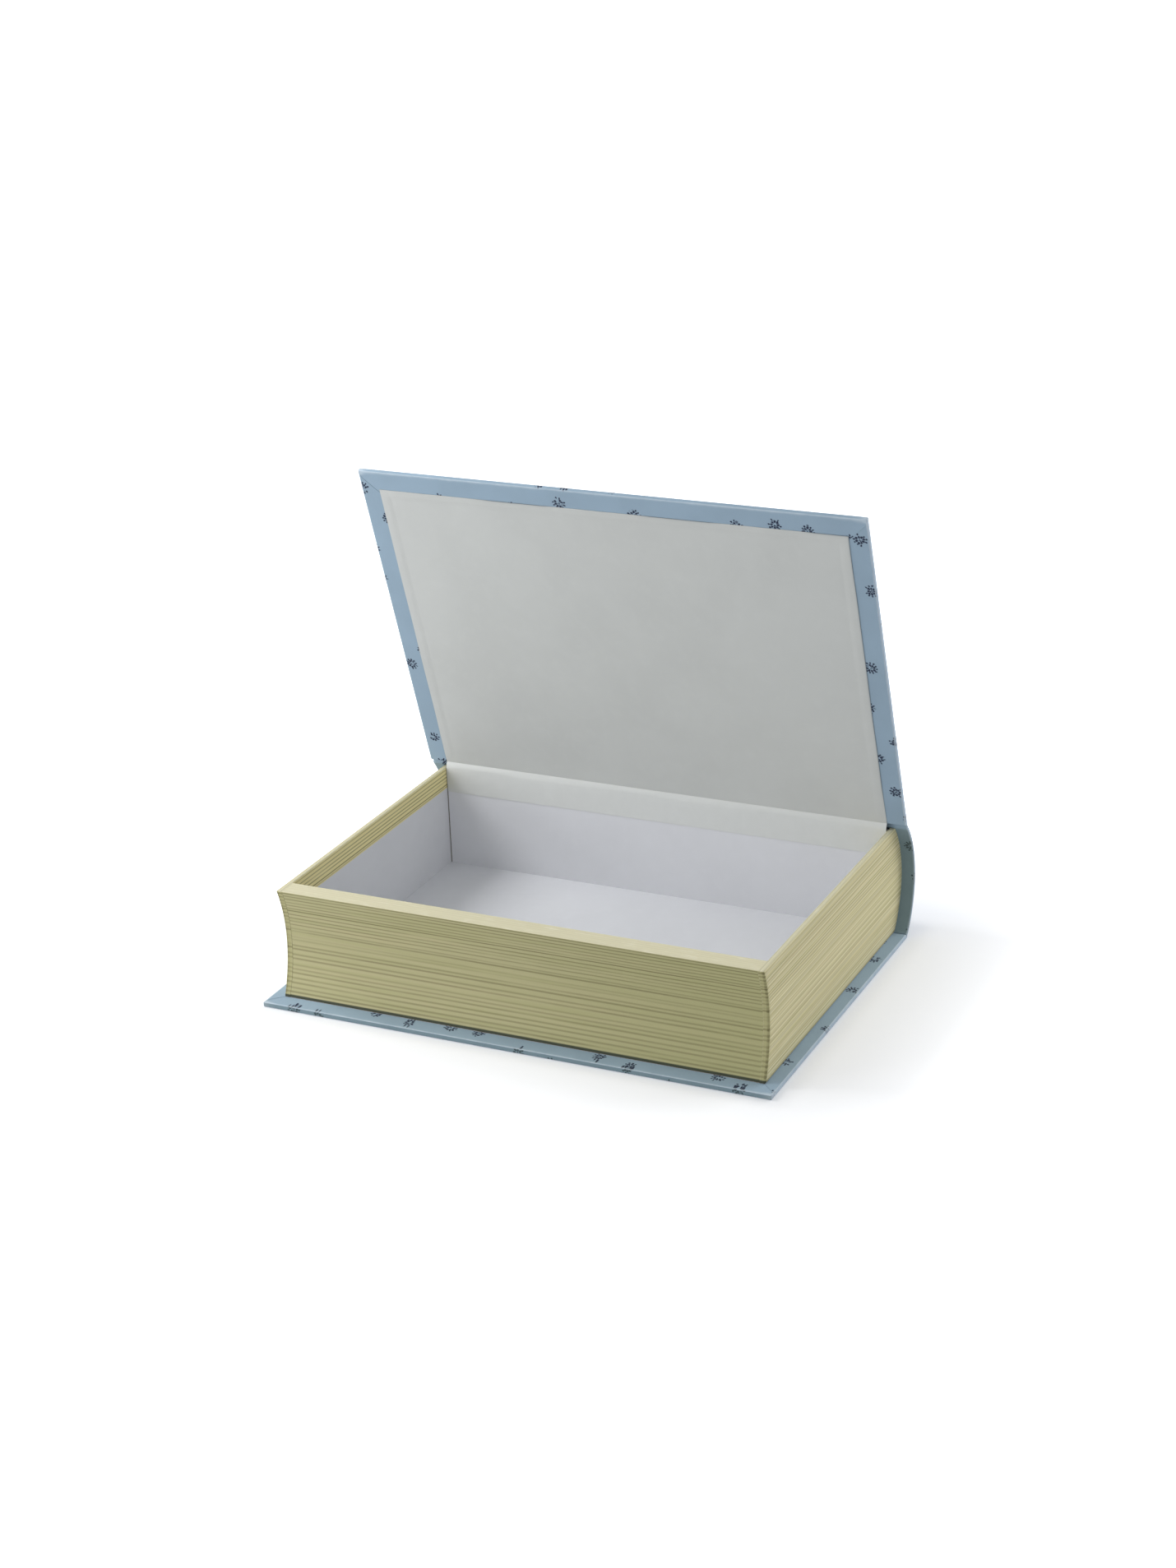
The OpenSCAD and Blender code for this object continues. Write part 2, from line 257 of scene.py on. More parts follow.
class Paint:
    """A material, or the world, while its nodes are being added."""

    def __init__(self, name, kind="materials"):
        self.owner = getattr(bpy.data, kind).new(name)
        self.owner.use_nodes = True
        self.tree = self.owner.node_tree
        self.tree.nodes.clear()

    def node(self, kind, settings=None, inputs=None, output=0):
        """Adds a node with its settings and the values or links of its sockets. Returns one output."""
        node = self.tree.nodes.new(kind)
        for key, value in (settings or {}).items():
            setattr(node, key, value)
        for key, value in (inputs or {}).items():
            socket = node.inputs[key]
            if isinstance(value, Value):
                self.tree.links.new(value.socket, socket)
            elif socket.type == "RGBA":
                socket.default_value = (*value, 1)
            else:
                socket.default_value = value
        return Value(self, node.outputs[output]) if node.outputs else None

    def math(self, operation, *values):
        return self.node("ShaderNodeMath", {"operation": operation}, dict(enumerate(values)))

    def vector(self, operation, *values):
        return self.node("ShaderNodeVectorMath", {"operation": operation}, dict(enumerate(values)))

    def scaled(self, vector, factor):
        return self.node("ShaderNodeVectorMath", {"operation": "SCALE"}, {"Vector": vector, "Scale": factor})

    def parts(self, vector):
        """The three numbers of a vector or colour."""
        first = self.node("ShaderNodeSeparateXYZ", inputs={0: vector})
        return [Value(self, socket) for socket in first.socket.node.outputs]

    def joined(self, *numbers):
        return self.node("ShaderNodeCombineXYZ", inputs=dict(enumerate(numbers)))

    def mix(self, factor, first, second):
        """A colour that runs from first to second as factor runs from 0 to 1."""
        return self.node("ShaderNodeMix", {"data_type": "RGBA"}, {0: factor, 6: first, 7: second}, 2)

    def layers(self, colour, *layers):
        """The colour under these layers, each given as its strength and its colour."""
        for strength, layer in layers:
            colour = self.mix(strength, colour, layer)
        return colour

    def step(self, value, low, high):
        """0 below low and 1 above high, with a soft step between. With low above high it falls."""
        inputs = {"Value": value, "From Min": low, "From Max": high}
        return self.node("ShaderNodeMapRange", {"interpolation_type": "SMOOTHSTEP"}, inputs)

    def noise(self, vector, scale, detail=2.0, roughness=0.5, colour=False):
        inputs = {"Vector": vector, "Scale": scale, "Detail": detail, "Roughness": roughness}
        return self.node("ShaderNodeTexNoise", None, inputs, "Color" if colour else 0)

    def chance(self, vector, output="Value"):
        """A random number, or colour, for each whole vector."""
        return self.node("ShaderNodeTexWhiteNoise", {"noise_dimensions": "3D"}, {"Vector": vector}, output)

    def flat(self):
        """Place on the unfolded sheet, in millimetres."""
        return self.scaled(self.node("ShaderNodeUVMap", {"uv_map": "flat"}), 1 / MM)

    def solid(self):
        """Place in the object, in millimetres."""
        return self.scaled(self.node("ShaderNodeTexCoord", output="Object"), 1 / MM)

    def mark(self, name):
        """A mark that the piece carries on its points."""
        return self.node("ShaderNodeAttribute", {"attribute_name": name}, output="Fac")

    def finish(self, colour, roughness, height, specular=0.3):
        """Ends in one shader. height is the surface's relief in millimetres."""
        bump = self.node("ShaderNodeBump", inputs={"Strength": 1.0, "Distance": MM, "Height": height})
        inputs = {"Base Color": colour, "Roughness": roughness, "Normal": bump}
        shader = self.node("ShaderNodeBsdfPrincipled", None, {**inputs, "Specular IOR Level": specular})
        self.node("ShaderNodeOutputMaterial", inputs={"Surface": shader})
        return self.owner


# ---------------------------------------------------------------- materials


# The rings of dabs that make a blossom: the number of dabs, the ring's and a dab's radius as shares
# of the blossom's, and the share of dabs that is left out
RINGS = ((3, 0.14, 0.12, 0.4), (8, 0.50, 0.19, 0.08), (11, 0.88, 0.15, 0.32))


def blossoms(paint, flat, spacing, radius):
    """Mask of the printed blossoms. The sheet is cut into staggered squares, and each holds one
    blossom that is moved and turned at random. A ring of dabs is the nearness of a point to the
    middle of its sector on a circle round the blossom's centre."""
    wobble = paint.vector("SUBTRACT", paint.noise(flat, 0.9, 1, colour=True), (0.5, 0.5, 0.5))
    print_place = paint.vector("ADD", flat, paint.scaled(wobble, 0.9))
    print_place = paint.vector("SUBTRACT", print_place, (0, FIRST_ROW / MM, 0))
    x, y, _ = paint.parts(paint.scaled(print_place, MM / spacing))
    row = paint.math("FLOOR", y)
    x = x + row * 0.5
    column = paint.math("FLOOR", x)
    a, b, turn = paint.parts(paint.chance(paint.joined(column, row, 0), "Color"))
    zoom = spacing / radius
    across = (x - column - 0.5 + (a - 0.5) * 0.6) * zoom
    up = (y - row - 0.5 + (b - 0.5) * 0.6) * zoom
    off_centre = paint.math("SQRT", across * across + up * up)
    turned = paint.math("ARCTAN2", up, across) * (1 / math.tau) + turn + 8
    ink = 0
    for place, (count, ring, dab, least) in enumerate(RINGS):
        sector = turned * count
        index = paint.math("FLOOR", sector)
        luck = paint.chance(paint.joined(column, row, index + 40 * place))
        aside = (sector - index - 0.5) * (math.tau * ring / count)
        beyond = off_centre - ring + (luck - 0.5) * 0.2
        apart = paint.math("SQRT", aside * aside + beyond * beyond * 0.6)
        dabs = paint.step(apart, dab * 1.15, dab * 0.7) * paint.step(luck, least - 0.05, least + 0.05)
        ink = paint.math("MAXIMUM", dabs, ink)
    return ink


def wrap_material(settings):
    """Matte printed paper: a mottled ground, dotted blossoms and a fine grain. The mark wear rubs
    it pale along its folds, and painted shade darkens it at the mitres, inside the spine's edge and
    on the base's front edge."""
    paint = Paint("printed wrap paper")
    flat = paint.flat()
    cloud = paint.noise(flat, 0.035, 3)
    grain = paint.noise(flat, 2.2, 3, 0.65)
    ink = blossoms(paint, flat, settings.spacing, settings.blossom)
    fibre = paint.step(paint.noise(flat, 3.1, 2, 0.7), 0.3, 0.62)
    rub = paint.noise(flat, 0.12, 2)
    worn = paint.step(paint.mark("wear") + (rub - 0.5) * 0.5, 0.5, 1.15)
    shade = paint.mark("seam")
    colour = paint.layers(
        settings.ground,
        (paint.step(cloud, 0.35, 0.68) * 0.5, toned(settings.ground, 0.88)),
        (grain * 0.12, settings.worn),
        (ink * (fibre * 0.1 + 0.88), settings.ink),
        (worn * 0.7, settings.worn),
        # Painted shade at the mitres, inside the spine's edge and on the base's front edge
        (shade * 0.35, toned(settings.ground, (0.3, 0.34, 0.24))),
    )
    roughness = 0.62 + grain * 0.2 - worn * 0.06
    return paint.finish(colour, roughness, grain * 0.02 + cloud * 0.05 - shade * 0.05)


def page_lines(paint, run, count, width, seed):
    """Strength of printed lines that run along the sheet. count grows by one from line to line and
    is swayed a little. Lines stand at points that are scattered one to each whole number, are width
    wide in the same measure, and each has its own strength."""
    sway = paint.noise(paint.joined(run * 0.01, count * 0.2, seed), 1.0, 1) - 0.5
    at = count + sway * 0.3 + seed
    cells = {"voronoi_dimensions": "1D", "feature": "F1"}
    near, own = (
        paint.node("ShaderNodeTexVoronoi", cells, {"W": at, "Scale": 1, "Randomness": 0.5}, output)
        for output in ("Distance", "Color")
    )
    strength, shift, _ = paint.parts(own)
    fade = paint.noise(paint.joined(run * 0.018, shift * 60, seed), 1.0, 2)
    printed = paint.step(near, width * 0.72, width * 0.2) * (strength * 0.5 + 0.5)
    return printed * paint.step(fade, 0.1, 0.5)


# Heights on the flat page papers in millimetres: the middle of the faint band on the fore edge,
# where its lines begin to lie closer, and the middle of the rim
FAINT_BAND, CROWDED_FROM, RIM_MIDDLE = 30.6, 38, 61


def page_material(name, settings, ground, fine):
    """Cream paper printed with page lines. On the fore edge they are bold, and faint in one band,
    and painted shade darkens the sheet towards its right end. On the sides they are fine, some dark and
    some pale. There the mark bold brings the bold lines and the fore edge's colour, as the lap round the
    front corner shows them: its cut edge is pale and its fold dark. Painted light makes the turn-down
    inside paler than the side. The mark rim makes the paper paler and rubbed, streaks of slightly other
    tints lie along the lines, and painted shadow darkens the foot, where the paper meets the base."""
    paint = Paint(name)
    flat = paint.flat()
    run, height, _ = paint.parts(flat)
    pitch, fine_pitch = settings.pitch / MM, settings.fine_pitch / MM
    rim = paint.mark("rim")
    crowded = paint.math("MAXIMUM", height - CROWDED_FROM, 0) * (0.28 / pitch)
    corner = paint.step(abs(run + 0.3), 1.2, 0.5) * (1 - rim) if fine else 0
    width = corner * (0.6 / pitch) + 1.0 / pitch
    lines = page_lines(paint, run, height * (1 / pitch) + crowded, width, 5.3)
    lines = lines * (paint.step(abs(height - FAINT_BAND), 1.5, 2.2) * 0.55 + 0.45)
    streak = paint.noise(paint.joined(run * 0.008, height * 0.36, 1.0), 1.0, 2, 0.6)
    grain = paint.noise(flat, 2.6, 2, 0.6)
    dark = toned(ground, (0.84, 0.88, 0.74))
    sheet = paint.layers(
        ground,
        (paint.step(streak, 0.4, 0.7) * 0.45, dark),
        (paint.step(streak, 0.48, 0.25) * 0.45, toned(ground, (1.08, 1.02, 1.04))),
    )
    if fine:
        bold = paint.mark("bold")
        hairs = page_lines(paint, run, height * (1 / fine_pitch), 0.7 / fine_pitch, 3.7) * 0.8
        thin = page_lines(paint, run, height * (1.4 / fine_pitch), 0.75, 8.2) * 0.45
        pale = page_lines(paint, run, height * (0.5 / fine_pitch), 0.38, 14.6)
        hair = paint.noise(paint.joined(run * 0.012, height * 1.5, 4.0), 1.0, 1)
        lines = lines * bold + paint.math("MAXIMUM", hairs, thin) * (1 - bold)
        lap = toned(settings.fore_edge, (0.9, 0.91, 0.82))
        sheet = paint.layers(
            sheet,
            (paint.step(hair, 0.5, 0.75) * 0.3, dark),
            (pale * 1.2, toned(ground, (1.12, 1.15, 1.28), 0.87)),
            (bold * paint.step(height, RIM_MIDDLE, RIM_MIDDLE - 1), lap),
            # Painted light: the inner rim and the turn-down inside are paler than the side
            (paint.step(height, RIM_MIDDLE, RIM_MIDDLE + 1) * 0.8, toned(ground, (1.3, 1.27, 1.08))),
            (corner * 0.4, toned(settings.fore_edge, (0.5, 0.5, 0.4))),
            (paint.step(run, -2.5, -3.0) * 0.15, settings.rim),
        )
    else:
        # Painted shade: the fore edge's paper darkens towards its right end
        sheet = paint.mix(paint.step(run, -30, 135) * 0.6, sheet, dark)
    scuff = paint.noise(paint.joined(run * 0.09, height * 0.4, 7.0), 1.0, 3, 0.6)
    rubbed = toned(settings.rim, (1.2, 1.23, 1.4))
    over_rim = 1 - rim * (0.5 if fine else 0.85)
    strength = lines * over_rim * (corner * 0.3 + paint.step(height, 30, 44) * 0.22 + 0.56)
    colour = paint.layers(
        sheet,
        (rim, paint.mix(paint.step(scuff, 0.52, 0.72) * 0.45, settings.rim, rubbed)),
        (strength, settings.lines),
        (grain * 0.1, settings.rim),
        # Painted shadow at the foot, where the paper meets the base
        (paint.step(height, 1.8, 1.1) * (bold * 0.6 + 0.3 if fine else 0.9), tint(28, 42, 38)),
    )
    roughness = 0.66 + grain * 0.16
    return paint.finish(colour, roughness, grain * 0.015 - strength * 0.02)


def lining_material(name, ground, shade, pale=None):
    """Smooth plain paper with a little mottling and grain. shade is the tint of its mottling. On the
    lid's lining, pale is a paler tint of painted light where the piece has the mark wall, over the
    hinge and down the rear wall, and the mark cut is a painted shadow line."""
    paint = Paint(name)
    solid = paint.solid()
    cloud = paint.noise(solid, 0.025, 3)
    patch = paint.noise(solid, 0.16, 3, 0.6)
    grain = paint.noise(solid, 2.4, 3, 0.65)
    patched = (paint.step(patch, 0.45, 0.75) * 0.25, toned(ground, 1.05))
    colour = paint.layers(ground, (paint.step(cloud, 0.35, 0.7) * 0.5, shade), patched)
    if pale is not None:
        # Painted light over the hinge and down the rear wall, and painted shadow along the cut edges
        painted_light_on_wall = (paint.mark("wall"), paint.mix(patch * 0.3, pale, shade))
        colour = paint.layers(colour, painted_light_on_wall, (paint.mark("cut") * 0.75, tint(72, 92, 108)))
    roughness = 0.58 + grain * 0.2
    return paint.finish(colour, roughness, grain * 0.018 + patch * 0.05)


def board_material(settings):
    """Grey board: pressed fibres in two sizes with dark flecks."""
    paint = Paint("grey board")
    solid = paint.solid()
    pulp = paint.noise(solid, 0.5, 4, 0.6)
    fibre = paint.noise(solid, 3.0, 3, 0.7)
    fleck = paint.step(paint.noise(solid, 1.6, 2, 0.5), 0.62, 0.72)
    pulped = (pulp * 0.4, toned(settings.board, 0.8))
    colour = paint.layers(settings.board, pulped, (fleck * 0.6, settings.fleck))
    roughness = 0.82 + fibre * 0.12
    return paint.finish(colour, roughness, fibre * 0.06 + pulp * 0.08, 0.2)


# ---------------------------------------------------------------- surfaces


def waves(where, reach, seed):
    """A smooth random line between about -1 and 1: the mean of five sines with lengths round reach
    and phases from a seeded draw."""
    draw = np.random.default_rng(seed)
    lengths = reach * draw.uniform(0.6, 1.7, 5)
    phases = draw.uniform(0, math.tau, 5)
    return 1.6 * np.sin(np.asarray(where)[..., None] / lengths * math.tau + phases).mean(-1)


def ramp(value, low, high):
    """0 below low and 1 above high, with a soft step between."""
    share = np.clip((value - low) / (high - low), 0, 1)
    return share * share * (3 - 2 * share)


def eased(radius, *insets):
    """Rounds the corners of a square-cornered form. insets are a point's distances inside each of
    the faces that meet. With p = radius - inset where that is positive, p is pressed onto a ball:
    p * max(p) / length of p. Returns the new insets."""
    insets = np.stack(np.broadcast_arrays(*insets), -1)
    p = np.clip(radius - insets, 0, None)
    length = np.linalg.norm(p, axis=-1, keepdims=True)
    share = np.divide(p.max(-1, keepdims=True), length, out=np.ones_like(length), where=length > 0)
    return np.moveaxis(insets + p - p * share, -1, 0)


def walked(first, second, axis=-1):
    """Length of a profile up to each of its points: the sum of its straight steps."""
    steps = np.hypot(np.diff(first, axis=axis), np.diff(second, axis=axis))
    return np.insert(np.cumsum(steps, axis), 0, 0, axis)


class Sheet:
    """A paper surface made of grids of points. Grids that meet are welded there."""

    def __init__(self, name):
        self.name = name
        self.points, self.flat, self.cells = [], [], []
        self.marks = {}
        self.count = 0

    def grid(self, points, flat, outward, **marks):
        """Adds a (rows, columns, 3) grid with its place on the flat sheet and its marks. The cells
        turn so that the sum of their normals, the cross products of their diagonals, points along
        outward."""
        points = np.asarray(points, float)
        rows, columns = points.shape[:2]
        index = self.count + np.arange(rows * columns).reshape(rows, columns)
        cells = np.stack([index[:-1, :-1], index[1:, :-1], index[1:, 1:], index[:-1, 1:]], -1)
        normals = np.cross(points[1:, 1:] - points[:-1, :-1], points[:-1, 1:] - points[1:, :-1])
        if normals.sum((0, 1)) @ outward < 0:
            cells = cells[..., ::-1]
        self.cells.append(cells.reshape(-1, 4))
        self.points.append(points.reshape(-1, 3))
        self.flat.append(np.stack(np.broadcast_arrays(*flat), -1).reshape(-1, 2))
        for name, values in marks.items():
            self.marks.setdefault(name, []).append(np.broadcast_to(values, (rows, columns)).reshape(-1))
        self.count += rows * columns

    def piece(self, material, slot):
        """Welds the grids, gives the paper its thickness on the inner side and returns the object."""
        points, flat, cells = (np.concatenate(part) for part in (self.points, self.flat, self.cells))
        mesh = bpy.data.meshes.new(self.name)
        mesh.from_pydata(points, [], cells)
        loops = np.empty(len(mesh.loops), np.int32)
        mesh.loops.foreach_get("vertex_index", loops)
        mesh.uv_layers.new(name="flat").data.foreach_set("uv", flat[loops].astype(np.float32).ravel())
        for name, values in self.marks.items():
            layer = mesh.attributes.new(name, "FLOAT", "POINT")
            layer.data.foreach_set("value", np.concatenate(values).astype(np.float32))
        build = bmesh.new()
        build.from_mesh(mesh)
        bmesh.ops.remove_doubles(build, verts=build.verts, dist=WELD)
        bmesh.ops.dissolve_degenerate(build, edges=build.edges, dist=WELD)
        build.to_mesh(mesh)
        build.free()
        piece = bpy.data.objects.new(self.name, mesh)
        bpy.context.scene.collection.objects.link(piece)
        wall = piece.modifiers.new("Paper", "SOLIDIFY")
        wall.thickness = SHEET_T
        wall.offset = -1
        wall.use_even_offset = True
        thick = bpy.data.meshes.new_from_object(piece.evaluated_get(bpy.context.evaluated_depsgraph_get()))
        piece.modifiers.clear()
        piece.data = thick
        thick.name = self.name
        bpy.data.meshes.remove(mesh)
        thick.polygons.foreach_set("use_smooth", np.ones(len(thick.polygons), bool))
        thick.set_sharp_from_angle(angle=SHARP)
        thick.materials.clear()
        thick.materials.append(material)
        return piece


# ---------------------------------------------------------------- the case wrap

# Places along the flat wrap sheet: the base from 0, the spine, and the lid up to the sheet's end
SPINE_START = COVER_DEPTH
LID_START = COVER_DEPTH + SPINE_LENGTH
WRAP_END = LID_START + COVER_DEPTH
CREASE = 0.8 * MM
PLAN_CORNER = 0.45 * MM
# The mitres of the turn-ins: how far from a corner the grid lines make room for one, by how much
# the second turn-in overlaps the first, and the inset from which the lining hides it
MITRE_REACH = 25 * MM
MITRE_OVERLAP = 2.6 * MM
MITRE_HIDDEN = 8.8 * MM
# Points on the arc of a rounded corner, and the width over which a turn-in starts past it
ARC_POINTS = 6
FOLD_REACH = 0.7 * MM
# The strongest wear that a point is marked with
MOST_WEAR = 1.3
# Distances from a sheet's end at which a grid has lines, from fine at the end to coarse
END_LINES = np.array([0, 0.15, 0.3, 0.45, 0.7, 1.0, 1.5, 2.3, 3.5, 5.5, 8.5, 12.5, 18, 25]) * MM


def lines_of(*parts):
    """Grid lines in order, without those that fall together with another to 0.01 mm."""
    lines = np.sort(np.concatenate([np.atleast_1d(part) for part in parts]))
    kept = lines[np.concatenate([[True], np.diff(lines) > 0.01 * MM])]
    kept[-1] = lines[-1]
    return kept


def end_to_end(low, high, gap=9 * MM, lines=END_LINES, extra=()):
    """Grid lines between two ends: fine near both, about gap apart between."""
    middle = np.linspace(low + lines[-1], high - lines[-1], 2 + int((high - low - 2 * lines[-1]) / gap))[1:-1]
    return lines_of(low + lines, middle, high - lines, extra)


def case_line(along):
    """The case's outer face where the flat sheet is this far from its start, seen from the side: a
    straight line under the base, an arc round the spine and a straight line up the lid, each
    averaged over the width of a crease. Returns (y, z) and the direction into the boards."""
    at = np.asarray(along)[..., None] + np.linspace(-CREASE, CREASE, 9)
    turn = (at - SPINE_START) / SPINE_MID_R - HALF_TURN
    radial = np.stack([np.cos(turn), np.sin(turn)], -1)
    nothing = np.zeros_like(at)
    base = np.stack([CASE_FRONT + at, nothing], -1)
    spine = SPINE_CENTRE + SPINE_R * radial
    lid = HINGE + (at - LID_START)[..., None] * UP_LID + WRAP_T / 2 * OUT_OF_LID
    on_base, on_lid = (at < SPINE_START)[..., None], (at > LID_START)[..., None]
    line = np.where(on_base, base, np.where(on_lid, lid, spine)).mean(-2)
    inward = np.where(on_base, np.array([0.0, 1.0]), np.where(on_lid, -OUT_OF_LID, -radial)).mean(-2)
    return line, inward / np.linalg.norm(inward, axis=-1, keepdims=True)


def wrap_depth(along):
    """How deep the turned-in paper lies under the outer face: a cover's or the spine's thickness,
    pressed down to two papers at the hinge lines."""
    places = [
        SPINE_START - JOINT_GAP, SPINE_START, SPINE_START + JOINT_GAP,
        LID_START - JOINT_GAP, LID_START, LID_START + JOINT_GAP,
    ]
    return np.interp(along, places, [COVER_T, GROOVE_T, SPINE_T, SPINE_T, GROOVE_T, COVER_T])


def on_case(x, along, depth):
    """Points of the case: x, place along the flat sheet, and depth under the outer face."""
    inset_x = CASE_HALF - np.abs(x)
    for start, sense in ((0.0, 1), (WRAP_END, -1)):
        inset = (along - start) * sense
        round_x, round_along = eased(PLAN_CORNER, inset_x, inset)
        near = inset < PLAN_CORNER
        x = np.where(near, np.sign(x) * (CASE_HALF - round_x), x)
        along = np.where(near, start + sense * round_along, along)
    line, inward = case_line(along)
    return np.concatenate([x[..., None], line + inward * depth[..., None]], -1)


def fanned(lines, low, high, inset):
    """Grid lines that leave room for a mitre: near an end they move away from it by the inset, and
    less the further they are."""
    near_low = np.clip(1 - (lines - low) / MITRE_REACH, 0, 1)
    near_high = np.clip(1 - (high - lines) / MITRE_REACH, 0, 1)
    return lines + inset * (near_low - near_high)


def over_edge(depth, radius):
    """Profile of paper over a board edge: round the outer corner, across, round the inner corner
    and 15 mm in. Returns the inset from the edge and the depth, with the profile on the last axis."""
    angle = np.linspace(0, math.pi / 2, ARC_POINTS)
    share = np.array([0.2, 0.45, 0.7, 2.2, 4, 6, 8, 10, 11.5, 13, 14.3]) * MM / (TURN_IN - FOLD_REACH)
    inset = [radius * (1 - np.sin(angle)), radius * (1 - np.cos(angle)), radius + (TURN_IN - radius) * share]
    below = [radius * (1 - np.cos(angle)), depth - radius * (1 - np.sin(angle)), depth + 0 * share]
    return np.concatenate(inset, -1), np.concatenate(below, -1)


def mitre_shift(inset, radius):
    """How far the mitre of the turn-ins stands off the true corner: the full overlap from just past
    the edge, back to nothing where the lining hides it."""
    hidden = ramp(inset, MITRE_HIDDEN, TURN_IN)
    return MITRE_OVERLAP * ramp(inset, radius, radius + FOLD_REACH) * (1 - hidden)


def corner_wear(x, along):
    """Wear that falls off with the distance from the nearest corner of a cover."""
    off = np.hypot(CASE_HALF - np.abs(x), np.minimum(along, WRAP_END - along))
    return 1.1 * np.exp(-off / (2.6 * MM))


def edge_wear(inset, radius, between):
    """Full wear at both rounded corners of a board edge, and this much between them."""
    fallen = np.exp(-np.maximum(inset - radius, 0) / (0.45 * MM))
    return fallen * (between + (1 - between) * ramp(inset, 0, 0.3 * radius))


def case_wrap(settings):
    """The one printed sheet of the case: a panel over the outer faces, a strip round each long edge
    and a strip round the front edge of each cover, meeting in mitres."""
    sheet = Sheet("case_wrap_sheet")
    edge = settings.edge
    fold = np.linspace(-2.4, 2.4, 17) * MM
    arc = np.linspace(SPINE_START + 3 * MM, LID_START - 3 * MM, 34)
    extra = np.concatenate([SPINE_START + fold, LID_START + fold, arc])
    rows = end_to_end(0, WRAP_END, extra=extra)[:, None]
    columns = end_to_end(-CASE_HALF, CASE_HALF)
    depth = wrap_depth(rows)
    radius = np.minimum(edge, 0.49 * depth)
    crease = 0.3 * np.exp(-np.minimum(np.abs(rows - SPINE_START), np.abs(rows - LID_START)) / MM)

    # Outer faces
    x = fanned(columns, -CASE_HALF, CASE_HALF, radius)
    along = fanned(rows, 0, WRAP_END, radius) + 0 * x
    inset = np.minimum(CASE_HALF - np.abs(x), np.minimum(along, WRAP_END - along))
    wear = np.exp(-(inset - radius) / (0.5 * MM)) + corner_wear(x, along) + crease
    sheet.grid(on_case(x, along, 0 * x), (x, along), (0, 1, 0), wear=np.minimum(wear, MOST_WEAR), seam=0)

    # Long edges. The inside of the spine's edge carries painted shade, and so does each mitre
    inset, below = over_edge(depth, radius)
    run = walked(inset, below, 1)
    along = fanned(rows, 0, WRAP_END, inset + mitre_shift(inset, radius))
    turned = ramp(inset, edge, edge + FOLD_REACH) * (np.arange(inset.shape[1]) >= 2 * ARC_POINTS)
    to_end = np.minimum(rows, WRAP_END - rows)
    in_spine = ramp(rows, SPINE_START - MM, SPINE_START + 3 * MM) * ramp(LID_START - rows, -MM, 3 * MM)
    in_spine = in_spine * (1 - 0.3 * ramp(rows, LID_START - 22 * MM, LID_START - 4 * MM))
    # Painted shade inside the spine's edge, and along each mitre below
    shaded = 1.4 * in_spine * ramp(below, 0.6 * SPINE_T, SPINE_T)
    seam = 0.7 * turned * np.exp(-to_end / (0.35 * MM)) + shaded
    wear = edge_wear(inset, radius, 0.9) + corner_wear(CASE_HALF - inset, along) + crease
    for sense in (-1, 1):
        points = on_case(sense * (CASE_HALF - inset), along, below)
        flat = (sense * (CASE_HALF - radius + run), along)
        sheet.grid(points, flat, (sense, 0, 0), wear=np.minimum(wear, MOST_WEAR), seam=seam)

    # Front edges of the base, whose lower corner carries painted shade, and of the lid
    inset, below = (part[:, None] for part in over_edge(COVER_T, edge))
    run = walked(inset, below, 0)
    turned = ramp(inset, edge, edge + FOLD_REACH) * (np.arange(len(inset)) >= 2 * ARC_POINTS)[:, None]
    x = fanned(columns, -CASE_HALF, CASE_HALF, inset)
    to_end = CASE_HALF - np.abs(columns)
    lap = 0.12 * MM * turned * np.clip(1 - to_end / (14 * MM), 0, 1)
    for start, sense, outward, shade in ((0.0, 1, (-1, 0), 1.4), (WRAP_END, -1, UP_LID, 0.0)):
        along = start + sense * (inset + mitre_shift(inset, edge)) + 0 * x
        wear = edge_wear(inset, edge, 0.5) + corner_wear(x, along)
        points = on_case(x, along, below - lap)
        flat = (x, start + sense * (edge - run))
        seam = shade * (1 - ramp(inset, 0, 0.3 * edge))
        sheet.grid(points, flat, (0, *outward), wear=np.minimum(wear, MOST_WEAR), seam=seam)
    return sheet


# ---------------------------------------------------------------- the lid lining

LINING_START = np.array([FLAP_FACE, FLAP_LOW])
LINING_BEND = np.array([FLAP_FACE, RIM])
LINING_FOLD = HINGE + JOINT_GAP * UP_LID + (WRAP_T / 2 - COVER_T - LINING_T) * OUT_OF_LID
LINING_TOP = COVER_DEPTH - LID_LINING_MARGIN
# Width of the painted shadow line along a cut edge, and how far the step over the turn-ins reaches
# outside and inside of their ends
CUT_SHADE = 0.34 * MM
STEP_OUT, STEP_IN = 1.6 * MM, 1.8 * MM


def wrinkles(x, from_top):
    """Sixteen ridges that run down from the lining's upper edge at random, most of them at the left.
    A ridge is a bell across its width, times a bell over its distance from the edge."""
    draw = np.random.default_rng(7)
    total = np.zeros_like(x)
    for _ in range(16):
        at = LINING_HALF * (draw.uniform(-0.95, 0.1) if draw.random() < 0.7 else draw.uniform(0.1, 0.95))
        lean, width, length = draw.uniform(-0.35, 0.35), draw.uniform(1.2, 2.6) * MM, draw.uniform(5, 15) * MM
        ridge = np.exp(-(((x - at - lean * from_top) / width) ** 2))
        total += draw.uniform(0.3, 1) * ridge * np.exp(-((from_top / length) ** 2))
    return total


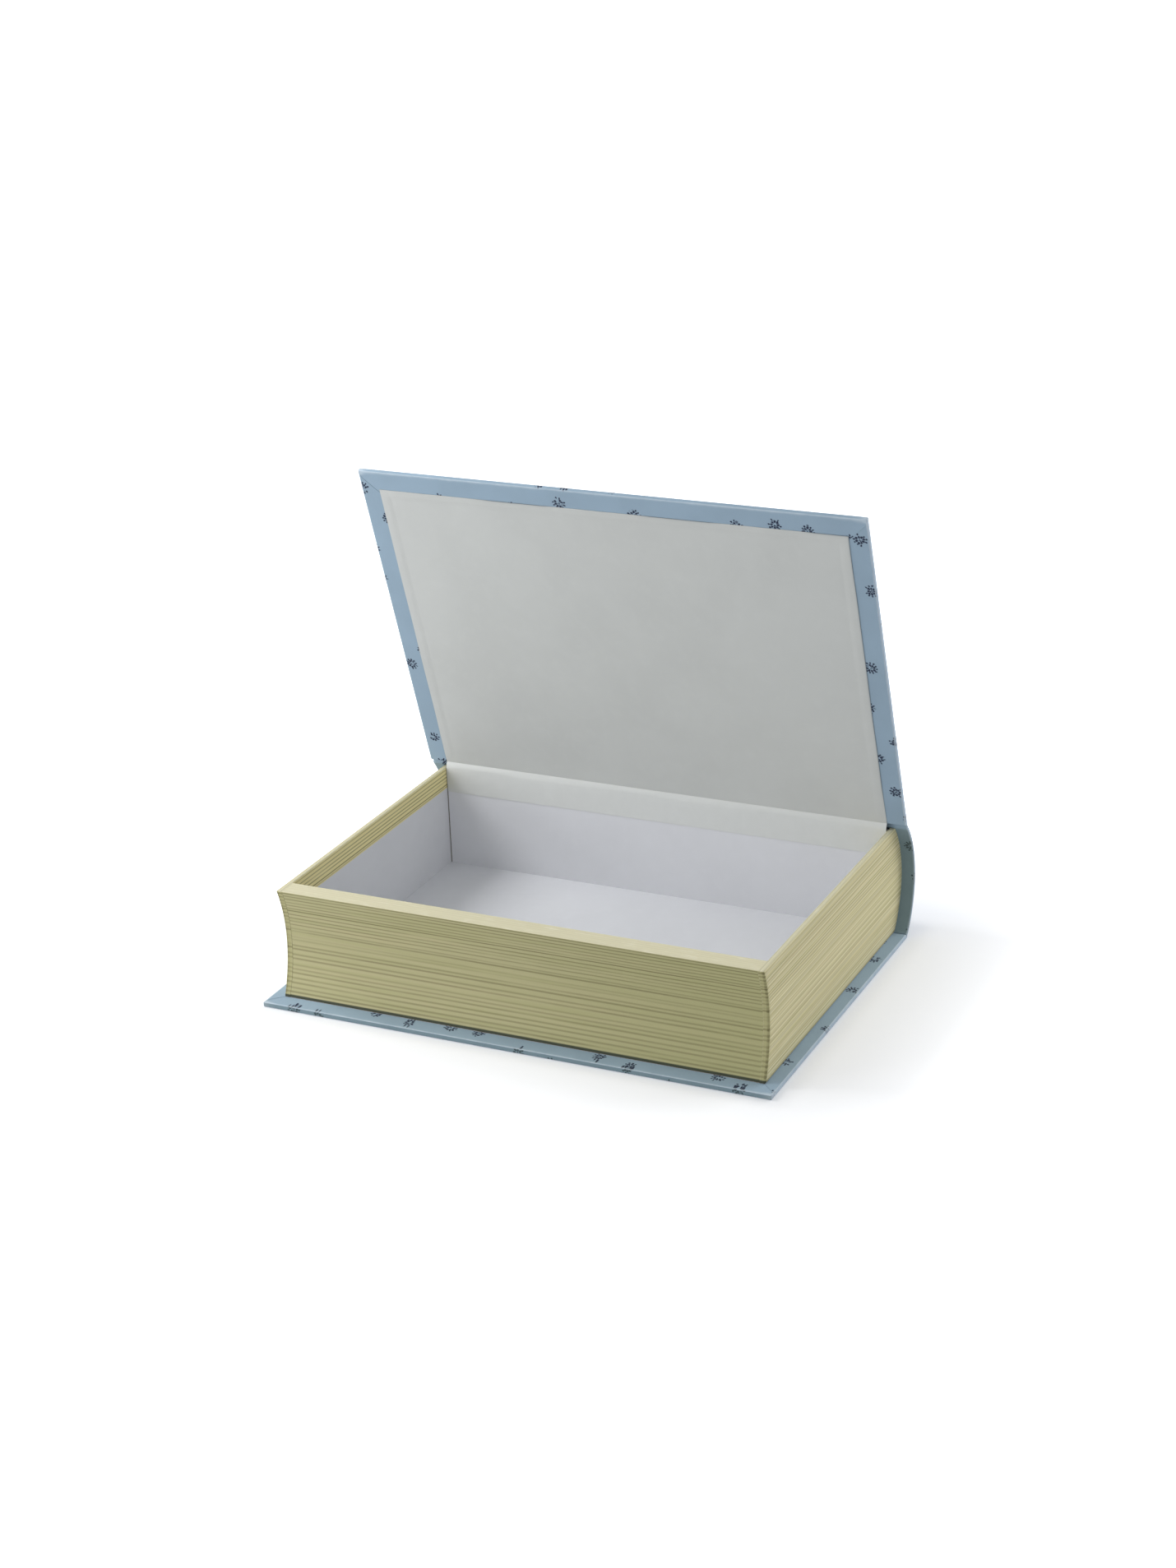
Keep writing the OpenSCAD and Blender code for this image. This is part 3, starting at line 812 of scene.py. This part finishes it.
def lid_lining(settings):
    """The lid's lining: glued on the rear wall, free across the hinge with a slight bulge, folded
    sharply and glued up the lid, where it sinks between the edges of the turn-ins."""
    sheet = Sheet("lid_lining_sheet")
    flap = np.linalg.norm(LINING_BEND - LINING_START)
    free = np.linalg.norm(LINING_FOLD - LINING_BEND)
    lid = LINING_TOP - JOINT_GAP
    # Where the turn-ins end under it, across and up the lid
    step_x, step_up = CASE_HALF - TURN_IN, COVER_DEPTH - TURN_IN - JOINT_GAP
    step = np.linspace(-STEP_OUT, STEP_OUT, 9)
    fine = np.array([0, 0.3, 0.6, 1.0, 1.6, 2.5, 4, 6.5, 10]) * MM
    rows = lines_of(
        np.linspace(0, flap, 8),
        flap + np.linspace(0, free, 9),
        flap + free + np.concatenate([fine, np.linspace(10 * MM, lid - 10 * MM, 42), lid - fine]),
        flap + free + step_up + step,
    )
    extra = np.concatenate([step_x + step, -step_x - step])
    columns = end_to_end(-LINING_HALF, LINING_HALF, 4 * MM, fine, extra)
    along, x = np.meshgrid(rows, columns, indexing="ij")
    share = x / LINING_HALF
    up = np.maximum(along - flap - free, 0)
    # Painted shadow along the right edge and parts of the upper one, where the cut stands off the wrap
    to_right, to_top = (LINING_HALF - x) / CUT_SHADE, (lid - up) / CUT_SHADE
    # The cut edges aren't quite straight
    side_wave = np.where(x > 0, waves(along, 70 * MM, 21), waves(along, 80 * MM, 22))
    x = x + share * np.abs(share) ** 7 * (side_wave - 1) * 0.16 * MM
    up = up + ramp(up, lid - 25 * MM, lid) * (waves(x, 90 * MM, 23) - 1) * 0.22 * MM * (along > flap + free)
    open_top = ramp(waves(x, 80 * MM, 24), -0.1, 0.5)
    # Painted shadow along the cut edges
    cut = np.maximum(ramp(up, 0, 30 * MM) * np.exp(-to_right), 0.9 * open_top * np.exp(-to_top))
    # Sunk between the turn-ins
    inside = ramp(step_x - np.abs(x), -STEP_OUT, STEP_IN) * ramp(step_up - up, -STEP_OUT, STEP_IN)
    inside = inside * ramp(up, 2 * MM, 5 * MM)
    depth = COVER_T + LINING_T * (1 - 0.8 * inside)
    depth = depth + settings.wrinkle * wrinkles(x, lid - up) * ramp(up, 5 * MM, 20 * MM)
    cockle = 0.03 * MM * waves(x + 0.4 * up, 46 * MM, 31) * waves(up - 0.3 * x, 60 * MM, 32)
    depth = depth + cockle * ramp(up, 0, 20 * MM)
    on_lid = HINGE + (JOINT_GAP + up)[..., None] * UP_LID + (WRAP_T / 2 - depth)[..., None] * OUT_OF_LID
    # The free part: a chord with a bulge that changes along the hinge
    t = np.clip((along - flap) / free, 0, 1)[..., None]
    chord = LINING_FOLD - LINING_BEND
    bulge = np.array([-chord[1], chord[0]]) / free * (0.28 + 0.14 * waves(x, 60 * MM, 41))[..., None] * MM
    on_strip = LINING_BEND + chord * t + bulge * 4 * t * (1 - t)
    on_flap = np.stack([np.full_like(x, FLAP_FACE), FLAP_LOW + along], -1)
    glued, free_part = (along <= flap)[..., None], (along <= flap + free)[..., None]
    place = np.where(glued, on_flap, np.where(free_part, on_strip, on_lid))
    points = np.concatenate([x[..., None], place], -1)
    # Painted light: the sheet is paler over the hinge and down the rear wall
    wall = 1 - ramp(along - flap - free, -0.2 * MM, 0.3 * MM)
    sheet.grid(points, (x, along), (0, -1, 0), wall=wall, cut=cut)
    return sheet


# ---------------------------------------------------------------- the page papers

HOLLOW_HALF = (RIM - FOOT) / 2
HOLLOW_R = (HOLLOW_HALF**2 + HOLLOW**2) / (2 * HOLLOW)
# The side papers are lapped this far over the fore edge's paper, which stands back under them
LAP = 3.2 * MM
SET_BACK = 0.12 * MM


def hollow(z):
    """y of the hollow fore edge at a height: an arc whose ends lie at the foot and the rim."""
    rise = np.clip(z - (FOOT + RIM) / 2, -HOLLOW_HALF, HOLLOW_HALF)
    return FORE_EDGE + np.sqrt(HOLLOW_R**2 - rise**2) - (HOLLOW_R - HOLLOW)


def lobe(z):
    """y of the rounded rear end of a side wall at a height: an arc inside the spine."""
    return SPINE_CENTRE[0] + np.sqrt(LOBE_R**2 - (z - SPINE_CENTRE[1]) ** 2)


def corner_lines(radius):
    """Distances from a square corner that turn into equal steps once the corner is rounded."""
    return radius * (1 - np.tan(np.linspace(math.pi / 4, 0, 5)))


def eased_foot(radius, z, *insets):
    """Insets and height after the corner at the tray's foot is rounded."""
    eased_insets = eased(radius, *insets, z - FOOT)
    at_foot = z < FOOT + radius
    insets = [np.where(at_foot, new, old) for new, old in zip(eased_insets, insets)]
    return *insets, np.where(at_foot, FOOT + eased_insets[-1], z)


def tray_heights(radius):
    """Heights of the grid lines up a tray wall, fine at the foot and at the rim."""
    fine = corner_lines(radius)
    return lines_of(FOOT + fine, np.linspace(FOOT + 1.5 * MM, RIM - 1.5 * MM, 30), RIM - fine)


def fore_edge_paper(settings):
    """Paper of the fore edge: a profile of hollow, rim and turn-down, carried along x. Its two
    upper corners and its foot are rounded."""
    sheet = Sheet("fore_edge_paper")
    radius = settings.edge
    front, inner = FORE_EDGE + SET_BACK, ROOM_FRONT
    top = RIM - SET_BACK / 2
    heights = tray_heights(radius)
    heights[-1] = top
    width = inner - front
    fine = corner_lines(radius)
    across = lines_of(fine, np.linspace(fine[-1], width - fine[-1], 10), width - fine)
    down = np.concatenate([fine, np.linspace(fine[-1], RIM - TURN_DOWN, 7)[1:]])
    in_y = np.concatenate([0 * heights, across[1:], width + 0 * down[1:]])
    z = np.concatenate([heights, top + 0 * across[1:], top - down[1:]])
    band = np.concatenate([0 * heights, 1 + 0 * across[1:], 0.45 + 0 * down[1:]])
    in_y, fall = eased(radius, in_y, top - z)
    behind, fall = eased(radius, width - in_y, fall)
    in_y, z = eased_foot(radius, top - fall, width - behind)
    share = 1 - ramp(in_y, 1.5 * MM, width)
    y = front + in_y + (hollow(z) - FORE_EDGE) * share * (z < top - 0.5 * radius)
    y = np.where(in_y < radius * 1.01, front + in_y + (hollow(z) - FORE_EDGE), y)
    half = ROOM_HALF + 1.1 * MM
    yy, xx = np.meshgrid(y, np.linspace(-half, half, 61), indexing="ij")
    zz = z[:, None] + 0 * xx
    # The paper isn't quite flat on its card
    swollen = ramp(zz, FOOT + 3 * MM, FOOT + 12 * MM) * (1 - ramp(zz, RIM - 8 * MM, RIM - 2 * MM))
    swell = 0.07 * MM * waves(xx, 55 * MM, 51) * swollen
    points = np.stack([xx, yy - swell * (yy < inner - 2 * MM), zz], -1)
    sheet.grid(points, (xx, walked(y, z)[:, None]), (0, -1, 0), rim=band[:, None])
    return sheet


def side_paper(settings, name, sense):
    """Paper of one side wall: the side face, a lap round the front corner, a cap over the rim and
    a turn-down inside, as flat grids whose outer corners are pressed round."""
    sheet = Sheet(name)
    radius = settings.edge
    heights = tray_heights(radius)
    fine = corner_lines(radius)
    length = float(lobe(RIM) - FORE_EDGE)
    keep = 20 * MM
    along = lines_of(fine, np.linspace(1.5 * MM, keep, 8), np.linspace(keep, length, 34))
    wall = TRAY_HALF - ROOM_HALF
    over = lines_of(fine, wall / 2, wall - fine)
    lap = lines_of(fine, np.linspace(fine[-1], LAP, 6))
    down = lines_of(fine, np.linspace(fine[-1], RIM - TURN_DOWN, 8))
    room = np.linspace(ROOM_FRONT - FORE_EDGE, ROOM_REAR - FORE_EDGE, 34)

    def place(inset_x, in_y, z, inner=False):
        """Points from their insets: behind the side face, behind the fore edge, and height. inner
        rounds the rim towards the room too."""
        inset_x, in_y, fall = eased(radius, inset_x, in_y, RIM - z)
        inset_x, in_y, z = eased_foot(radius, RIM - fall, inset_x, in_y)
        if inner:
            behind, fall = eased(radius, wall - inset_x, RIM - z)
            inset_x, z = wall - behind, RIM - fall
        near = 1 - ramp(in_y, 0, keep)
        y = FORE_EDGE + in_y + (hollow(z) - FORE_EDGE) * near
        return np.stack([sense * (TRAY_HALF - inset_x), y, z], -1)

    # Side face, whose rear end follows the lobe
    in_y, z = np.meshgrid(along, heights)
    stretch = np.maximum(in_y - keep, 0) / (length - keep)
    in_y = in_y + stretch * (lobe(z) - FORE_EDGE - length)
    bold = 1 - ramp(in_y, 1.0 * MM, 1.7 * MM)
    sheet.grid(place(0 * z, in_y, z), (in_y, z - FOOT), (sense, 0, 0), rim=0, bold=bold)
    # Lap round the front corner
    inset, z = np.meshgrid(lap, heights)
    sheet.grid(place(inset, 0 * z, z), (-inset, z - FOOT), (0, -1, 0), rim=0, bold=1)
    # Cap over the rim, in front of the room and beside it. On the left the lines reach further over
    plain = 0.9 * MM if sense < 0 else 0.0
    in_front = lines_of(along[along <= room[0] + WELD], room[0])
    beside = lines_of(room, along[along > room[-1]])
    for part, inner in ((in_front, False), (beside, True)):
        in_y, inset = np.meshgrid(part, over)
        points = place(inset, in_y, RIM + 0 * inset, inner)
        flat = (in_y, RIM - FOOT + inset)
        sheet.grid(points, flat, (0, 0, 1), rim=ramp(inset, plain, plain + 0.4 * MM), bold=0)
    # Turn-down inside
    in_y, drop = np.meshgrid(room, down)
    points = place(wall + 0 * drop, in_y, RIM - drop, True)
    flat = (in_y, RIM - FOOT + wall + drop)
    sheet.grid(points, flat, (-sense, 0, 0), rim=0, bold=ramp(drop, 0, 0.5 * MM))
    return sheet


# ---------------------------------------------------------------- operators


def finish_nodes(slot, material):
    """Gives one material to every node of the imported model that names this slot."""
    for row in frame["record"]["subparts"]:
        if row["material_slot"] == slot:
            for place in frame["nodes"][row["node"]].material_slots:
                place.material = material


class BOOKBOX_OT_case_wrap(Operator):
    """Make the printed sheet that covers base, spine and lid"""

    bl_idname = "book_box.case_wrap"
    bl_label = "Case wrap"

    def execute(self, context):
        settings = context.scene.book_box.wrap
        piece = case_wrap(settings).piece(wrap_material(settings), "printed_wrap")
        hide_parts("base_wrap_paper", "spine_wrap_paper", "hinge_wrap_paper", "lid_wrap_paper")
        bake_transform(piece)
        return {"FINISHED"}


class BOOKBOX_OT_lid_lining(Operator):
    """Make the plain sheet that lines the lid and reaches down the rear wall"""

    bl_idname = "book_box.lid_lining"
    bl_label = "Lid lining"

    def execute(self, context):
        settings = context.scene.book_box.linings
        shade = toned(settings.lid, 0.93)
        material = lining_material("lid lining paper", settings.lid, shade, settings.wall)
        piece = lid_lining(settings).piece(material, "lid_lining")
        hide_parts("lid_lining_paper", "hinge_lining_paper", "rear_lining_flap")
        end = (0, FLAP_FACE, LINING_FOLD[1] - 0.14 * MM)
        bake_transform(piece)
        return {"FINISHED"}


class BOOKBOX_OT_page_papers(Operator):
    """Make the lined papers of the fore edge and of both sides"""

    bl_idname = "book_box.page_papers"
    bl_label = "Page papers"

    def execute(self, context):
        settings = context.scene.book_box.pages
        material = page_material("fore edge page paper", settings, settings.fore_edge, False)
        piece = fore_edge_paper(settings).piece(material, "page_paper")
        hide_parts("fore_edge_page_paper")
        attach(piece, "box")
        material = page_material("side page paper", settings, settings.sides, True)
        for name, sense in (("left", -1), ("right", 1)):
            piece = side_paper(settings, f"{name}_side_paper", sense).piece(material, "page_paper")
            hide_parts(f"{name}_page_paper")
            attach(piece, "box")
        return {"FINISHED"}


class BOOKBOX_OT_tray_linings(Operator):
    """Finish the plain papers inside the tray"""

    bl_idname = "book_box.tray_linings"
    bl_label = "Tray linings"

    def execute(self, context):
        ground = context.scene.book_box.linings.tray
        finish_nodes("tray_lining", lining_material("tray lining paper", ground, toned(ground, 0.95)))
        return {"FINISHED"}


class BOOKBOX_OT_boards(Operator):
    """Finish the grey boards and cards"""

    bl_idname = "book_box.boards"
    bl_label = "Boards"

    def execute(self, context):
        finish_nodes("grey_board", board_material(context.scene.book_box.board))
        return {"FINISHED"}


# Each lamp's name, which is also its setting's, the side of its square, and its place
LAMPS = (
    ("key", 0.3, (-0.5, -0.1, 0.5)),
    ("low", 0.3, (-0.6, -0.6, 0.16)),
    ("fill", 0.6, (0.64, 0.62, 0.47)),
)
LAMPS_AIM = Vector((0, 0, 0.08))
CAMERA_PLACE = (0.59882, -1.23596, 0.65689)
CAMERA_TURN = (68.029, 2.048, 25.038)
# How much more slowly the floor's glow grows on the right, where the shadow is longer, and the
# distance from the box, in millimetres, at which the floor is white
GLOW_RIGHT = 0.85
GLOW_REACH = 165


class BOOKBOX_OT_stage(Operator):
    """Set up the floor, the light and the camera"""

    bl_idname = "book_box.stage"
    bl_label = "Stage"

    def execute(self, context):
        scene, settings = context.scene, context.scene.book_box.stage
        scene.view_settings.view_transform = "Standard"
        self.floor(scene, settings)
        self.room(scene, settings)
        for name, size, place in LAMPS:
            self.lamp(scene, name, getattr(settings, name), size, place)
        view = bpy.data.cameras.new("camera")
        view.lens, view.sensor_width, view.sensor_fit = settings.lens, 36, "AUTO"
        view.clip_start, view.clip_end = 0.01, 50
        camera = bpy.data.objects.new("camera", view)
        camera.location = CAMERA_PLACE
        camera.rotation_euler = Euler([math.radians(a) for a in CAMERA_TURN], "XYZ")
        scene.collection.objects.link(camera)
        scene.camera = camera
        return {"FINISHED"}

    def lamp(self, scene, name, power, size, place):
        """A square soft lamp that faces the middle of the box."""
        light = bpy.data.lights.new(name, "AREA")
        light.energy, light.size = power, size
        lamp = bpy.data.objects.new(name, light)
        lamp.location = place
        lamp.rotation_euler = (LAMPS_AIM - lamp.location).to_track_quat("-Z", "Y").to_euler()
        scene.collection.objects.link(lamp)

    def floor(self, scene, settings):
        """A wide disc of plain pale paper just under the box. The camera sees it glow, a little at
        the box and up to white away from it."""
        count, reach, below = 64, 6.0, 0.1 * MM
        angle = np.linspace(0, math.tau, count, endpoint=False)
        rim = np.stack([reach * np.cos(angle), reach * np.sin(angle), 0 * angle - below], -1)
        mesh = bpy.data.meshes.new("floor")
        mesh.from_pydata(rim, [], [list(range(count))])
        floor = bpy.data.objects.new("floor", mesh)
        scene.collection.objects.link(floor)
        paint = Paint("floor paper")
        grain = paint.noise(paint.solid(), 0.4, 2)
        paper = paint.mix(grain * 0.2, settings.floor, toned(settings.floor, 0.97))
        lit = paint.node("ShaderNodeBsdfDiffuse", inputs={"Color": paper})
        # Distance from the base cover's outline
        x, y, _ = paint.parts(paint.solid())
        aside = paint.math("MAXIMUM", (x - CASE_HALF / MM) * GLOW_RIGHT, -CASE_HALF / MM - x)
        aside = paint.math("MAXIMUM", aside, 0)
        ahead = paint.math("MAXIMUM", abs(y) + CASE_FRONT / MM, 0)
        away = paint.math("SQRT", aside * aside + ahead * ahead)
        white = paint.step(away, 0, 12) * 0.1 + paint.step(away, 0, GLOW_REACH) * 0.9
        glow = paint.mix(white, (0.18, 0.18, 0.18), (1, 1, 1))
        glow = paint.node("ShaderNodeEmission", inputs={"Color": glow, "Strength": 1})
        both = paint.node("ShaderNodeAddShader", inputs={0: lit, 1: glow})
        path = paint.node("ShaderNodeLightPath", output="Is Camera Ray")
        shown = paint.node("ShaderNodeMixShader", inputs={0: path, 1: lit, 2: both})
        paint.node("ShaderNodeOutputMaterial", inputs={"Surface": shown})
        mesh.materials.append(paint.owner)

    def room(self, scene, settings):
        """An even pale room that looks white to the camera and in reflections."""
        paint = Paint("room", "worlds")
        camera, glossy, through = (
            paint.node("ShaderNodeLightPath", output=f"Is {kind} Ray")
            for kind in ("Camera", "Glossy", "Transmission")
        )
        seen = paint.math("MAXIMUM", paint.math("MAXIMUM", camera, glossy), through)
        even, white = (
            paint.node("ShaderNodeBackground", inputs={"Color": colour, "Strength": strength})
            for colour, strength in (((0.96, 0.98, 1), settings.ambient), ((1, 1, 1), 1))
        )
        shown = paint.node("ShaderNodeMixShader", inputs={0: seen, 1: even, 2: white})
        paint.node("ShaderNodeOutputWorld", inputs={"Surface": shown})
        scene.world = paint.owner


STEPS = (
    BOOKBOX_OT_case_wrap,
    BOOKBOX_OT_lid_lining,
    BOOKBOX_OT_page_papers,
    BOOKBOX_OT_tray_linings,
    BOOKBOX_OT_boards,
    BOOKBOX_OT_stage,
)


class BOOKBOX_PT_panel(Panel):
    """Sizes, colours and steps of the book box"""

    bl_label = "Book box"
    bl_idname = "BOOKBOX_PT_panel"
    bl_space_type = "VIEW_3D"
    bl_region_type = "UI"
    bl_category = "Book box"

    def draw(self, context):
        settings = context.scene.book_box
        for name in BOOKBOX_PG_settings.__annotations__:
            group = getattr(settings, name)
            column = self.layout.box().column()
            column.label(text=name.capitalize())
            for key in group.__annotations__:
                column.prop(group, key)
        for step in STEPS:
            self.layout.operator(step.bl_idname)


CLASSES = (
    BOOKBOX_PG_wrap,
    BOOKBOX_PG_pages,
    BOOKBOX_PG_linings,
    BOOKBOX_PG_board,
    BOOKBOX_PG_stage,
    BOOKBOX_PG_settings,
    *STEPS,
    BOOKBOX_PT_panel,
)


def register():
    for kind in CLASSES:
        bpy.utils.register_class(kind)
    bpy.types.Scene.book_box = PointerProperty(type=BOOKBOX_PG_settings)


def unregister():
    del bpy.types.Scene.book_box
    for kind in reversed(CLASSES):
        bpy.utils.unregister_class(kind)


def main():
    register()
    for step in STEPS:
        group, name = step.bl_idname.split(".")
        getattr(getattr(bpy.ops, group), name)()


if __name__ == "__main__":
    main()
